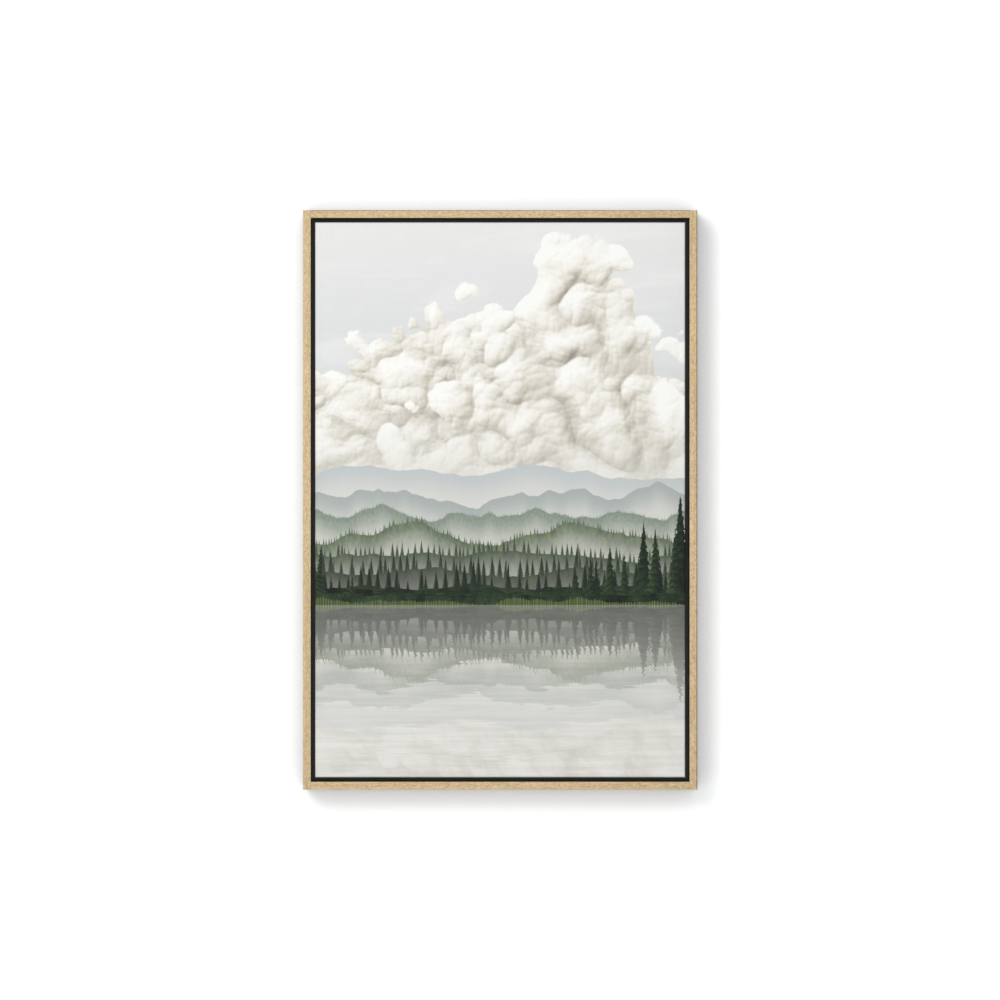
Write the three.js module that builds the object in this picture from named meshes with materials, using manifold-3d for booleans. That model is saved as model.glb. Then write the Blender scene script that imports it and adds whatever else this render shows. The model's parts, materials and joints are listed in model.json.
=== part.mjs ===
// A framed canvas print: a printed cloth stretched over a pine stretcher, held from behind in a natural
// oak floating frame with a black inside, with two D-ring hangers on its back.
// Millimetres, +Z up. The print faces -Y. The origin is in the plane of the frame's back, at the middle
// of the top ledge, where the frame meets the wall.
import * as THREE from "three";
import { mergeVertices } from "three/addons/utils/BufferGeometryUtils.js";
import Module from "manifold-3d";

const wasm = await Module();
wasm.setup();

// Sizes of faces that meet are multiples of 0.25, so that their sums are exact.
const seat = 0.25; // clearance round a piece that sits in a cut of its neighbour

const canvasWidth = 500;
const canvasHeight = 750;
const canvasSetBack = 3; // from the frame's front edges to the face of the canvas
const clothThick = 0.5;
const clothTurnOver = 36; // width of the cloth that is folded over the stretcher's back

const revealGap = 5.75; // the gap in which the canvas floats
const boardFace = 10.5; // width of the oak seen from the front
const frameDepth = 42;
const frontArris = 0.75; // the oak's planed-off front edges
const ledgeWidth = 30;
const ledgeThick = 12;

const barWidth = 40; // stretcher bars
const barLip = 6; // width of the raised outer edge that carries the cloth
const barLipRound = 1;
const barFall = 3; // how far the bar's front falls away behind the cloth, at its inner edge
const barStep = 1; // and just inside the lip
const mitreGap = 0.25;
const braceWidth = 40;
const braceThick = 18;
const braceBack = 15; // from the frame's back to the brace
const tongueLength = 10;
const tongueThick = 8;

const keyThick = 4; // wedges in the stretcher's inner corners
const keyButt = 12;
const keyTip = 8;
const keyInside = 14; // length driven into the bar
const keyOutside = 16; // length left showing
const keyDepths = { stile: 19, rail: 26 }; // from the frame's back to each pair's middle

const dowelRadius = 2.5;
const dowelInRail = 14;
const dowelInStile = 7;
const dowelDepths = [12, 30]; // from the frame's back

const canvasScrew = {
  head: 3.75,
  shank: 1.75,
  cone: 2.5,
  point: 3,
  length: 26,
  recessSpan: 4.5,
  recessWidth: 1.25,
  recessDepth: 2,
  inset: 17.25, // from the boards' inside faces
  sink: 0.25, // the head's top lies this far under the ledge's back
};
const screwStops = { stile: [-280, 0, 280], rail: [-130, 130] };

const hangerDrop = 170; // from the frame's top edge to the rings' axis
const strap = { width: 13, thick: 1, length: 42, holes: [22, 35] };
const strapCurlEnd = THREE.MathUtils.degToRad(-110);
const ring = { wire: 1.1, halfWidth: 9.5, straight: 6, corner: 2.5, butt: 0.4, sides: 8, steps: 64 };
const hangerScrew = { head: 3, headHeight: 1.75, shank: 1.5, point: 2.5, length: 10.5, recess: 1 };
const bumper = { radius: 6, rim: 1.5, height: 4.5 };
const bumperRise = 26; // from the frame's bottom edge

const roundSides = 16;

// Places that follow from the sizes. "Reach" is a distance from the middle of the frame.
const openingReach = { x: canvasWidth / 2 + revealGap, z: canvasHeight / 2 + revealGap };
const outerReach = { x: openingReach.x + boardFace, z: openingReach.z + boardFace };
const clothRoom = clothThick + seat;
const barReach = { x: canvasWidth / 2 - clothRoom, z: canvasHeight / 2 - clothRoom };
const canvasFront = canvasSetBack - frameDepth;
const canvasBack = -ledgeThick - seat;
const barFront = canvasFront + clothRoom;
const barBack = canvasBack - clothRoom;
const curlRadius = ring.wire + seat + strap.thick; // outside of the strap's curl
const hangerX = openingReach.x - ledgeWidth / 2;
const ringZ = outerReach.z - hangerDrop;

const oak = material(0xd0ba92, 0.6);
const blackPaint = material(0x2c2b29, 0.8);
const printedCloth = material(0xe4e4e0, 0.85);
const pine = material(0xdcc39a, 0.7);
const beech = material(0xd9b38c, 0.65);
const zincSteel = material(0xb9bcc0, 0.35, 1);
const softPad = material(0x3a3a3c, 0.9);

function material(color, roughness, metalness = 0) {
  return new THREE.MeshStandardMaterial({ color, roughness, metalness });
}

function piece(name, geometry, finish) {
  const mesh = new THREE.Mesh(geometry, finish);
  mesh.name = name;
  return mesh;
}

// A closed geometry as a solid that can be cut.
function solid(geometry) {
  const bare = geometry.clone();
  bare.deleteAttribute("normal");
  bare.deleteAttribute("uv");
  const merged = mergeVertices(bare, 1e-4);
  return new wasm.Manifold(
    new wasm.Mesh({
      numProp: 3,
      vertProperties: merged.attributes.position.array,
      triVerts: new Uint32Array(merged.index.array),
    }),
  );
}

// The geometry with each of the tools taken out of it.
function cut(geometry, tools) {
  let left = solid(geometry);
  for (const tool of tools) {
    left = left.subtract(solid(tool));
  }
  const mesh = left.getMesh();
  return new THREE.BufferGeometry()
    .setAttribute("position", new THREE.BufferAttribute(new Float32Array(mesh.vertProperties), 3))
    .setIndex(new THREE.BufferAttribute(new Uint32Array(mesh.triVerts), 1));
}

// A box from its lowest to its highest values along x, y and z.
function block([x0, x1], [y0, y1], [z0, z1]) {
  const geometry = new THREE.BoxGeometry(x1 - x0, y1 - y0, z1 - z0);
  return geometry.translate((x0 + x1) / 2, (y0 + y1) / 2, (z0 + z1) / 2);
}

function rising(a, b) {
  return a - b;
}

function outline(points) {
  return new THREE.Shape(points.map(([a, b]) => new THREE.Vector2(a, b)));
}

// A section drawn in x and y, drawn out to the same length above and below the middle.
function upright(section, halfLength) {
  const geometry = new THREE.ExtrudeGeometry(section, { depth: 2 * halfLength, bevelEnabled: false });
  return geometry.translate(0, 0, -halfLength);
}

// A plate drawn in x and z, with its middle at the given y.
function plate(shape, thick, middle) {
  const geometry = new THREE.ExtrudeGeometry(shape, { depth: thick, bevelEnabled: false });
  return geometry.rotateX(Math.PI / 2).translate(0, middle + thick / 2, 0);
}

// A round tool or pin along y from y0 to y1.
function roundAlongY(radius, y0, y1, x, z) {
  const geometry = new THREE.CylinderGeometry(radius, radius, y1 - y0, roundSides);
  return geometry.translate(x, (y0 + y1) / 2, z);
}

// A round tool or pin along z from z0 to z1.
function roundAlongZ(radius, z0, z1, x, y) {
  return new THREE.CylinderGeometry(radius, radius, z1 - z0, roundSides)
    .rotateX(Math.PI / 2)
    .translate(x, y, (z0 + z1) / 2);
}

// A round tool or pin along x from x0 to x1.
function roundAlongX(radius, x0, x1, y, z) {
  return new THREE.CylinderGeometry(radius, radius, x1 - x0, roundSides)
    .rotateX(Math.PI / 2)
    .rotateY(Math.PI / 2)
    .translate((x0 + x1) / 2, y, z);
}

// A round shape about y, from its radius at each height.
function turned(profile) {
  const points = profile.map(([radius, y]) => new THREE.Vector2(radius, y));
  return new THREE.LatheGeometry(points, roundSides);
}

// The four sides are drawn as the right-hand one, and turned about y into place.
const sides = [
  { name: "right", kind: "stile", angle: 0, across: "x", along: "z" },
  { name: "top", kind: "rail", angle: -Math.PI / 2, across: "z", along: "x" },
  { name: "left", kind: "stile", angle: Math.PI, across: "x", along: "z" },
  { name: "bottom", kind: "rail", angle: Math.PI / 2, across: "z", along: "x" },
];

// Oak board. Stiles run the frame's full height, and rails fit between them on two dowels each end.
function boardOf(side) {
  const out = outerReach[side.across];
  const inner = openingReach[side.across];
  const isStile = side.kind === "stile";
  const halfLength = isStile ? outerReach.z : openingReach.x;
  const section = outline([
    [inner, 0],
    [out, 0],
    [out, frontArris - frameDepth],
    [out - frontArris, -frameDepth],
    [inner + frontArris, -frameDepth],
    [inner, frontArris - frameDepth],
  ]);
  const holes = [];
  for (const end of [-1, 1]) {
    for (const depth of dowelDepths) {
      const radius = dowelRadius + seat;
      if (isStile) {
        const height = end * (outerReach.z - boardFace / 2);
        holes.push(roundAlongX(radius, inner - 1, inner + dowelInStile + seat, -depth, height));
      } else {
        const ends = [end * (halfLength - dowelInRail - seat), end * (halfLength + 1)].sort(rising);
        holes.push(roundAlongZ(radius, ends[0], ends[1], out - boardFace / 2, -depth));
      }
    }
  }
  return cut(upright(section, halfLength), holes);
}

// Dowels that join a rail's ends to the stiles.
function dowelsOf(side) {
  const group = new THREE.Group();
  for (const [endName, end] of [["left", -1], ["right", 1]]) {
    for (const [level, depth] of dowelDepths.entries()) {
      // a turned rail's ends point the other way
      const way = side.name === "top" ? -end : end;
      const ends = [way * (openingReach.x - dowelInRail), way * (openingReach.x + dowelInStile)];
      const [z0, z1] = ends.sort(rising);
      const x = outerReach.z - boardFace / 2;
      const geometry = roundAlongZ(dowelRadius, z0, z1, x, -depth);
      group.add(piece(`dowel_${side.name}_${endName}_${level + 1}`, geometry, beech));
    }
  }
  return group;
}

// Black ledge behind the gap. The top and bottom ledges run between the stiles, the others between them.
function ledgeOf(side) {
  const out = openingReach[side.across];
  const halfLength = side.kind === "stile" ? openingReach.z - ledgeWidth : openingReach.x;
  const strip = block([out - ledgeWidth, out], [-ledgeThick, 0], [-halfLength, halfLength]);
  const holes = [];
  for (const stop of screwStops[side.kind]) {
    const x = out - canvasScrew.inset;
    holes.push(roundAlongY(canvasScrew.shank + seat, -ledgeThick - 1, 1, x, stop));
    holes.push(
      turned([
        [0, -canvasScrew.cone - canvasScrew.sink - seat],
        [canvasScrew.shank + seat, -canvasScrew.cone - canvasScrew.sink - seat],
        [canvasScrew.head + seat, -canvasScrew.sink - seat],
        [canvasScrew.head + seat, 1],
        [0, 1],
      ]).translate(x, 0, stop),
    );
  }
  if (side.kind === "stile") {
    for (const drop of strap.holes) {
      const z = (side.name === "left" ? -1 : 1) * (ringZ - drop);
      holes.push(
        roundAlongY(hangerScrew.shank + seat, strap.thick - hangerScrew.length - seat, 1, hangerX, z),
      );
    }
  }
  return cut(strip, holes);
}

// Stretcher bar with mitred ends, a raised outer lip, a slot for a key at each end, and pilot holes.
function barOf(side) {
  const out = barReach[side.across];
  const halfLength = barReach[side.along];
  const inner = out - barWidth;
  const section = outline([
    [inner, barBack],
    [out, barBack],
    [out, barFront + barLipRound],
    [out - barLipRound, barFront],
    [out - barLip, barFront],
    [out - barLip - barStep, barFront + barStep],
    [inner, barFront + barFall],
  ]);
  const geometry = upright(section, halfLength);
  const at = geometry.attributes.position;
  for (let i = 0; i < at.count; i++) {
    const end = Math.sign(at.getZ(i));
    at.setZ(i, end * (halfLength - (out - at.getX(i)) - mitreGap));
  }
  const keyMiddle = -keyDepths[side.kind];
  const keyZ = halfLength - barWidth;
  const half = keyThick / 2 + seat;
  const holes = [-1, 1].map((end) =>
    block(
      [inner - 1, inner + keyInside + seat],
      [keyMiddle - half, keyMiddle + half],
      [end * keyZ, end * (keyZ - keyButt)].sort(rising),
    ),
  );
  if (side.kind === "stile") {
    const middle = braceBack + braceThick / 2;
    const room = tongueThick / 2 + seat;
    const halfWide = braceWidth / 2 + seat;
    holes.push(
      block(
        [inner - 1, inner + tongueLength + seat],
        [-middle - room, -middle + room],
        [-halfWide, halfWide],
      ),
    );
  }
  for (const stop of screwStops[side.kind]) {
    const x = openingReach[side.across] - canvasScrew.inset;
    const bottom = -canvasScrew.sink - canvasScrew.length - seat;
    holes.push(roundAlongY(canvasScrew.shank + seat, bottom, barBack + 1, x, stop));
  }
  return cut(geometry, holes);
}

// The two wedges that sit against a bar's neighbours and go into its slots.
function keysOf(side) {
  const group = new THREE.Group();
  const inner = barReach[side.across] - barWidth;
  const corner = barReach[side.along] - barWidth;
  for (const [number, end] of [-1, 1].entries()) {
    const shape = outline([
      [inner - keyOutside, end * (corner - seat)],
      [inner + keyInside, end * (corner - seat)],
      [inner + keyInside, end * (corner - keyTip)],
      [inner - keyOutside, end * (corner - keyButt + seat)],
    ]);
    const geometry = plate(shape, keyThick, -keyDepths[side.kind]);
    group.add(piece(`key_${side.name}_${number + 1}`, geometry, beech));
  }
  return group;
}

// Countersunk screw along y, with its head at the back.
function canvasScrewShape() {
  const s = canvasScrew;
  const top = -s.sink;
  const shape = turned([
    [0, top - s.length],
    [s.shank, top - s.length + s.point],
    [s.shank, top - s.cone],
    [s.head, top],
    [0, top],
  ]);
  return cut(shape, crossRecess(s.recessSpan, s.recessWidth, top, s.recessDepth));
}

function crossRecess(span, width, top, depth) {
  const long = [-span / 2, span / 2];
  const wide = [-width / 2, width / 2];
  const down = [top - depth, top + 1];
  return [block(long, down, wide), block(wide, down, long)];
}

function canvasScrewsOf(side) {
  const group = new THREE.Group();
  for (const [number, stop] of screwStops[side.kind].entries()) {
    const screw = piece(`canvas_screw_${side.name}_${number + 1}`, canvasScrewShape(), zincSteel);
    screw.position.set(openingReach[side.across] - canvasScrew.inset, 0, stop);
    group.add(screw);
  }
  return group;
}

function sideOf(side) {
  const group = new THREE.Group();
  group.rotation.y = side.angle;
  group.add(piece(`${side.kind}_${side.name}`, boardOf(side), oak));
  group.add(piece(`ledge_${side.name}`, ledgeOf(side), blackPaint));
  group.add(piece(`stretcher_${side.name}`, barOf(side), pine));
  group.add(keysOf(side));
  group.add(canvasScrewsOf(side));
  if (side.kind === "rail") {
    group.add(dowelsOf(side));
  }
  return group;
}

// The brace across the stretcher's middle, with a thinner tongue at each end.
function braceShape() {
  const reach = barReach.x - barWidth;
  const middle = -braceBack - braceThick / 2;
  const full = braceThick / 2;
  const thin = tongueThick / 2;
  const tip = reach + tongueLength;
  const section = outline([
    [-reach, middle - full],
    [reach, middle - full],
    [reach, middle - thin],
    [tip, middle - thin],
    [tip, middle + thin],
    [reach, middle + thin],
    [reach, middle + full],
    [-reach, middle + full],
    [-reach, middle + thin],
    [-tip, middle + thin],
    [-tip, middle - thin],
    [-reach, middle - thin],
  ]);
  return upright(section, braceWidth / 2);
}

// The cloth: a face, four wrapped sides and a turned-over border with a hole for each screw.
function canvasShape() {
  const half = { x: canvasWidth / 2, z: canvasHeight / 2 };
  const box = (inset, y0, y1) =>
    block([inset - half.x, half.x - inset], [y0, y1], [inset - half.z, half.z - inset]);
  const tools = [
    box(clothThick, canvasFront + clothThick, canvasBack - clothThick),
    box(clothTurnOver, canvasFront + clothThick, canvasBack + 1),
  ];
  const radius = canvasScrew.shank + 2 * seat;
  const inset = { x: openingReach.x - canvasScrew.inset, z: openingReach.z - canvasScrew.inset };
  for (const end of [-1, 1]) {
    for (const stop of screwStops.stile) {
      tools.push(roundAlongY(radius, barBack, canvasBack + 1, end * inset.x, stop));
    }
    for (const stop of screwStops.rail) {
      tools.push(roundAlongY(radius, barBack, canvasBack + 1, stop, end * inset.z));
    }
  }
  return cut(box(0, canvasFront, canvasBack), tools);
}

// Steel strap: a flat plate on the ledge whose top curls round the ring's straight side.
function strapShape() {
  const side = new THREE.Shape();
  const inside = curlRadius - strap.thick;
  side.moveTo(0, -strap.length);
  side.lineTo(strap.thick, -strap.length);
  side.lineTo(strap.thick, 0);
  side.absarc(curlRadius, 0, inside, Math.PI, strapCurlEnd, true);
  side.absarc(curlRadius, 0, curlRadius, strapCurlEnd, Math.PI, false);
  side.closePath();
  const geometry = new THREE.ExtrudeGeometry(side, {
    depth: strap.width,
    bevelEnabled: false,
    curveSegments: 10,
  });
  const depthHeightWidth = new THREE.Matrix4().makeBasis(
    new THREE.Vector3(0, 1, 0),
    new THREE.Vector3(0, 0, 1),
    new THREE.Vector3(1, 0, 0),
  );
  geometry.applyMatrix4(depthHeightWidth).translate(-strap.width / 2, 0, 0);
  const radius = hangerScrew.shank + seat;
  const holes = strap.holes.map((drop) => roundAlongY(radius, -1, strap.thick + 1, 0, -drop));
  return cut(geometry, holes);
}

// D-ring of round wire, hanging down from its straight side. The wire's ends meet inside the curl.
function ringShape() {
  const { halfWidth, straight, corner, butt } = ring;
  const line = new THREE.Path();
  line.moveTo(butt / 2, 0);
  line.lineTo(halfWidth - corner, 0);
  line.absarc(halfWidth - corner, -corner, corner, Math.PI / 2, 0, true);
  line.lineTo(halfWidth, -straight);
  line.absarc(0, -straight, halfWidth, 0, -Math.PI, true);
  line.lineTo(-halfWidth, -corner);
  line.absarc(corner - halfWidth, -corner, corner, Math.PI, Math.PI / 2, true);
  line.lineTo(-butt / 2, 0);
  const points = line.getSpacedPoints(ring.steps).map((p) => new THREE.Vector3(p.x, 0, p.y));
  const wire = new THREE.Shape().absarc(0, 0, ring.wire, 0, 2 * Math.PI);
  return new THREE.ExtrudeGeometry(wire, {
    steps: ring.steps,
    curveSegments: ring.sides / 2,
    extrudePath: new THREE.CatmullRomCurve3(points),
  });
}

// Pan-head screw along y, with its head on the strap.
function hangerScrewShape() {
  const s = hangerScrew;
  const shape = turned([
    [0, -s.length],
    [s.shank, s.point - s.length],
    [s.shank, 0],
    [s.head, 0],
    [s.head, s.headHeight / 2],
    [s.head / 2, s.headHeight],
    [0, s.headHeight],
  ]);
  return cut(shape, crossRecess(s.head, s.recess, s.headHeight, s.recess));
}

function hangerOf(name, end) {
  const group = new THREE.Group();
  group.position.set(end * hangerX, 0, ringZ);
  group.add(piece(`hanger_strap_${name}`, strapShape(), zincSteel));
  const dRing = piece(`hanger_ring_${name}`, ringShape(), zincSteel);
  dRing.position.y = curlRadius;
  group.add(dRing);
  for (const [number, drop] of strap.holes.entries()) {
    const screw = piece(`hanger_screw_${name}_${number + 1}`, hangerScrewShape(), zincSteel);
    screw.position.set(0, strap.thick, -drop);
    group.add(screw);
  }
  return group;
}

function bumperOf(name, end) {
  const shape = turned([
    [0, 0],
    [bumper.radius, 0],
    [bumper.radius, bumper.rim],
    [bumper.radius * 0.9, bumper.height - bumper.rim],
    [bumper.radius * 0.6, bumper.height],
    [0, bumper.height],
  ]);
  const pad = piece(`bumper_${name}`, shape, softPad);
  pad.position.set(end * hangerX, 0, bumperRise - outerReach.z);
  return pad;
}

const framedCanvas = new THREE.Group();
framedCanvas.position.z = boardFace + ledgeWidth / 2 - outerReach.z;
for (const side of sides) {
  framedCanvas.add(sideOf(side));
}
framedCanvas.add(piece("cross_brace", braceShape(), pine));
framedCanvas.add(piece("canvas", canvasShape(), printedCloth));
for (const [name, end] of [["left", -1], ["right", 1]]) {
  framedCanvas.add(hangerOf(name, end));
  framedCanvas.add(bumperOf(name, end));
}

export default framedCanvas;
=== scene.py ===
"""A framed canvas print: the looks of its oak floating frame, printed cloth, stretcher and hangers.

Metres, +Z up. The print faces -Y, and the frame's back lies in the plane y = 0. Each piece is built in its
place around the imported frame, so that every object sits at the origin.
"""

import json
import math
import random
from collections import namedtuple
from functools import partial

import bmesh
import bpy
from bpy.props import FloatProperty, FloatVectorProperty, PointerProperty
from mathutils import Matrix, Vector


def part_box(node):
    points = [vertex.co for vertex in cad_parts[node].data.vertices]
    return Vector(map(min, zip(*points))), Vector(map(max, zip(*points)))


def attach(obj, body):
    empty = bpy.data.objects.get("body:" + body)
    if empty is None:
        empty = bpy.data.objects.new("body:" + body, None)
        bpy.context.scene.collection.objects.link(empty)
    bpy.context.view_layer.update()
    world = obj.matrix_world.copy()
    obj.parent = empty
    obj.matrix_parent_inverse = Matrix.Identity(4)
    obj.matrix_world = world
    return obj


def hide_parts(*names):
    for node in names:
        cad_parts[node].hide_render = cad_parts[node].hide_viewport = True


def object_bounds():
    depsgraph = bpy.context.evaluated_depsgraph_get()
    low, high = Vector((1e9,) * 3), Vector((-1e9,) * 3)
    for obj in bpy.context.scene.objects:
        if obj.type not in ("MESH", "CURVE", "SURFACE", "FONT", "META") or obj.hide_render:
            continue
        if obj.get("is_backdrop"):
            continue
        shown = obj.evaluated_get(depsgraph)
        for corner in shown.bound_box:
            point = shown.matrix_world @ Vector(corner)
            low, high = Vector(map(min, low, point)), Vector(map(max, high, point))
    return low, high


bl_info = {
    "name": "Framed canvas print",
    "version": (1, 0, 0),
    "blender": (4, 5, 0),
    "location": "3D View > Sidebar > Framed Canvas",
    "description": "Builds a canvas print in an oak floating frame around its packed frame",
    "category": "Object",
}

MM = 0.001

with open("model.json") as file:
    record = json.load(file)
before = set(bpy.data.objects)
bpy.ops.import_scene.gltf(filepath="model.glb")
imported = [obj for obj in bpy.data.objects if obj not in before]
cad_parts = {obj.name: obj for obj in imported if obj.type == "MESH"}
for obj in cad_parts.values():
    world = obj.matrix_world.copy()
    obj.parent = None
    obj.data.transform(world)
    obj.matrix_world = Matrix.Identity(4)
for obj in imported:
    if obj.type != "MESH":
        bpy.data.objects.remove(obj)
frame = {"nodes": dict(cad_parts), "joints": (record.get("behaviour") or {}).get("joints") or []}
CAD_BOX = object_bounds()
NODES = frame["nodes"]
CANVAS_LOW, CANVAS_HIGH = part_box("canvas")
CANVAS_MIDDLE = (CANVAS_LOW + CANVAS_HIGH) / 2
CANVAS_HALF = (CANVAS_HIGH - CANVAS_LOW) / 2
CANVAS_DEPTH = CANVAS_HIGH.y - CANVAS_LOW.y

CLOTH_THICK = 0.5 * MM
TURN_OVER = 36 * MM
# round the dowels in their holes
CLEARANCE = 0.25 * MM
# places this near count as the same, and vertices this near become one
NEAR = 0.01 * MM
MERGE = 0.001 * MM


def linear(hex_colour, alpha=1.0):
    """Scene linear RGBA of an sRGB hex colour such as "#D0BA92"."""
    parts = [int(hex_colour[i : i + 2], 16) / 255 for i in (1, 3, 5)]
    return (*(c / 12.92 if c <= 0.04045 else ((c + 0.055) / 1.055) ** 2.4 for c in parts), alpha)


# ---------------------------------------------------------------- settings


def colour_setting(name, description, hex_colour):
    return FloatVectorProperty(
        name=name, description=description, subtype="COLOR", size=4, min=0, max=1, default=linear(hex_colour)
    )


def length_setting(name, description, millimetres, **limits):
    return FloatProperty(name=name, description=description, default=millimetres * MM, unit="LENGTH", **limits)


class FramedCanvasBoards(bpy.types.PropertyGroup):
    oak: colour_setting("Oak", "Main tone of the planed oak", "#D6BF97")
    oak_light: colour_setting("Oak, light", "Tone of the pale streaks in the oak", "#E3CDA4")
    oak_pink: colour_setting("Oak, pink", "Tone of the pinkish patches in the oak", "#D8B595")
    oak_olive: colour_setting("Oak, olive", "Tone of the greyer patches in the oak", "#C9B784")
    oak_dark: colour_setting("Oak, dark", "Tone of the rings, pores and dashes in the oak", "#A98A5B")
    paint: colour_setting("Inside paint", "Matt paint on the inside of the frame", "#565553")
    arris: length_setting("Front arris", "Rounding of the boards' front edges", 0.75, min=0)
    edge: length_setting("Other edges", "Rounding of the boards' other edges", 0.35, min=0)


class FramedCanvasPrint(bpy.types.PropertyGroup):
    haze: colour_setting("Haze", "Pale haze over the horizon", "#DEDDD7")
    water: colour_setting("Water", "Pale water at the bottom of the print", "#DEDDD8")
    primer: colour_setting("Primer", "Bare primed border behind the print's edge", "#ECEAE3")
    cotton: colour_setting("Cotton", "Unprimed back of the cloth", "#DDD3BE")
    shoreline: length_setting("Shoreline", "Height of the shoreline above the print's middle", -142)
    edge_round: length_setting("Edge round", "Rounding of the cloth round the stretcher", 2.4, min=0.6 * MM)
    thread: length_setting("Thread spacing", "From one thread of the weave to the next", 0.8, min=0.2 * MM)


class FramedCanvasBack(bpy.types.PropertyGroup):
    pine: colour_setting("Pine", "Early wood of the stretcher's pine", "#E2C99B")
    pine_ring: colour_setting("Pine rings", "Late wood of the stretcher's pine", "#C99C5F")
    beech: colour_setting("Beech", "Main tone of the keys and dowels", "#D9B48E")
    zinc: colour_setting("Zinc", "Bright zinc plating of the steel pieces", "#C4C7CB")
    pad: colour_setting("Pads", "Soft rubber of the bumpers", "#3A3A3C")
    staple_step: length_setting("Staple spacing", "From one staple to the next", 30, min=15 * MM)
    staple_width: length_setting("Staple width", "Width of a staple's crown", 10, min=4 * MM)


class FramedCanvasStudio(bpy.types.PropertyGroup):
    wall: colour_setting("Wall", "Matt white wall behind the frame", "#FAFCFF")
    wall_exposure: FloatProperty(
        name="Wall exposure", description="How far the lit wall is over-exposed", default=1.28, min=0.5, max=2.0
    )
    contact_shade: FloatProperty(
        name="Contact shade",
        description="Depth of the soft shade round the frame",
        subtype="FACTOR",
        default=0.64,
        min=0,
        max=1,
    )
    floor: colour_setting("Floor", "Plain pale floor", "#E6E6E4")
    distance: length_setting("Camera distance", "From the camera to the frame's front", 5000, min=1)
    picture: length_setting("Picture width", "Width that the camera takes in at the frame's front", 1350.2, min=0.1)


# ---------------------------------------------------------------- materials

# the setting that the second word of a node's kind is for
CHOICES = {
    "Math": "operation",
    "VectorMath": "operation",
    "Mix": "data_type",
    "MapRange": "interpolation_type",
    "TexNoise": "noise_dimensions",
    "TexVoronoi": "voronoi_dimensions",
}


def add_node(tree, kind, *sources, stops=(), **named):
    """Adds a node of a kind such as "Math MULTIPLY", and sets or links its inputs.

    The sources go to the inputs in use, in their order. A name with a capital is an input's, with _ for a space, and
    any other is a setting. A source is a value, an output, or a node that gives its first output in use."""
    kind, *choice = kind.split()
    node = tree.nodes.new("ShaderNode" + kind)
    settings = {name: value for name, value in named.items() if name[0].islower()}
    settings.update((CHOICES[kind], word) for word in choice)
    for name, value in settings.items():
        setattr(node, name, value)
    if stops:
        elements = node.color_ramp.elements
        elements.remove(elements[1])
        for place, (position, colour) in enumerate(stops):
            element = elements[0] if place == 0 else elements.new(position)
            element.position, element.color = position, linear(colour)
    inputs = [socket for socket in node.inputs if socket.enabled]
    links = list(zip(inputs, sources))
    for name, source in named.items():
        if name not in settings:
            links.append((next(s for s in inputs if s.name == name.replace("_", " ")), source))
    for socket, source in links:
        if isinstance(source, bpy.types.Node):
            source = first_output(source)
        if isinstance(source, bpy.types.NodeSocket):
            tree.links.new(source, socket)
        else:
            socket.default_value = source
    return node


def first_output(node):
    return next(socket for socket in node.outputs if socket.enabled)


def new_material(name):
    """A material that holds only a Principled shader, and what adds a node to it."""
    material = bpy.data.materials.new(name)
    material.use_nodes = True
    return material, partial(add_node, material.node_tree)


def shared(name, make):
    """The material of this name, which is made the first time that it's asked for."""
    return bpy.data.materials.get(name) or make(name)


def finish_surface(material, add, colour, roughness, height, depth, gloss=0.5, metallic=0.0):
    """Links a colour, a roughness, and a height from 0 to 1 that stands for the given depth, to the shader."""
    tree = material.node_tree
    shader = tree.nodes["Principled BSDF"]
    bump = add("Bump", Strength=1.0, Distance=depth, Height=height)
    for name, node in (("Base Color", colour), ("Roughness", roughness), ("Normal", bump)):
        tree.links.new(first_output(node), shader.inputs[name])
    shader.inputs["Specular IOR Level"].default_value = gloss
    shader.inputs["Metallic"].default_value = metallic
    return material


def object_places(add):
    return add("TexCoord").outputs["Object"]


def grain_places(add, along, seed):
    """Object coordinates with the grain turned to run along X, moved to a part of the wood of its own."""
    places = object_places(add)
    turned = (0, math.radians(90 if along == "Z" else 0), 0)
    return add("Mapping", places, (0.37 * seed, 0.11 * seed, 0.23 * seed), turned)


def sized(add, places, *sizes, unit=MM):
    """Places on which a pattern with features 1 apart has features of these sizes, given in the unit."""
    return add("VectorMath MULTIPLY", places, [1 / (unit * size) for size in sizes])


def streaks(add, places, sizes, detail, kind="TexNoise", unit=MM, **more):
    """Streaks of these sizes along the three axes of the places."""
    return add(kind, sized(add, places, *sizes, unit=unit), Scale=1.0, Detail=detail, **more)


def shaded(add, tone, pattern, start, end, low, high):
    """A tone that becomes from low to high times as light as a pattern goes from start to end."""
    return add("VectorMath SCALE", tone, add("MapRange", pattern, start, end, low, high))


def tinted(add, tone, colour, pattern, start, end, most=1.0):
    """A tone that turns into another colour, by this share at most, as a pattern goes from start to end."""
    return add("Mix RGBA", add("MapRange", pattern, start, end, 0, most), tone, colour)


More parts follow.
